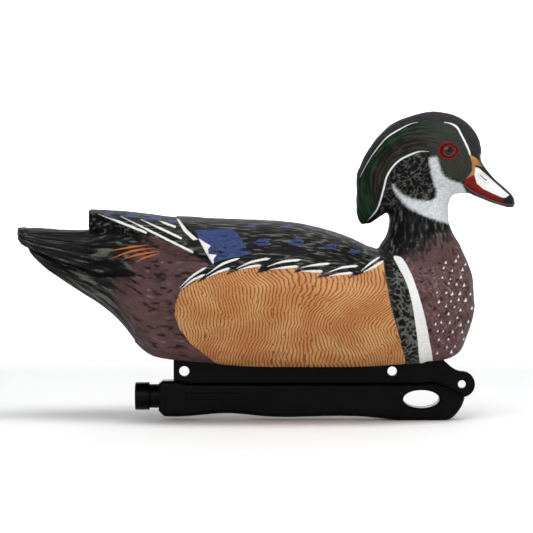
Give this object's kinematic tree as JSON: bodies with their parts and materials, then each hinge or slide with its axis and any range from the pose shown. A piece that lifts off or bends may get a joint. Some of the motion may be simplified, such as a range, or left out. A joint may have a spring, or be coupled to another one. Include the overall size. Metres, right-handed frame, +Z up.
{
  "type": "wood duck drake floating decoy",
  "caption": "Hollow floating duck decoy with a crested head, glossy eyes and a black weighted keel with a screw cap, tie holes and an oval opening.",
  "frame": {"origin": "on the ground under the middle of the decoy's length, on its plane of symmetry", "axes": "+X towards the bill, +Y towards the duck's left side, +Z up; the decoy floats level in this frame"},
  "size_m": [0.3692, 0.14, 0.2285],
  "materials": {
    "painted_body": "satin",
    "painted_head": "satin",
    "eye": "gloss",
    "keel": "satin",
    "cap": "satin",
    "seal": "matte",
    "sand": "matte"
  },
  "bodies": {
    "decoy": {"body_shell": "painted_body", "head_shell": "painted_head", "eye_left": "eye", "eye_right": "eye", "keel_shell": "keel", "ballast": "sand"},
    "seal_carrier": {"cap_seal": "seal"},
    "cap": {"keel_cap": "cap"}
  },
  "joints": [
    {"name": "cap_travel", "type": "slide", "parent": "decoy", "child": "seal_carrier", "axis": [-1, 0, 0], "range_m": [0, 0.0066]},
    {"name": "cap_turn", "type": "hinge", "parent": "seal_carrier", "child": "cap", "pos_m": [-0.092, 0, 0.0176], "axis": [-1, 0, 0], "range_deg": [0, 1080]}
  ],
  "couplings": [
    {"joint": "cap_travel", "follows": "cap_turn", "m_per_rad": 0.00035}
  ]
}
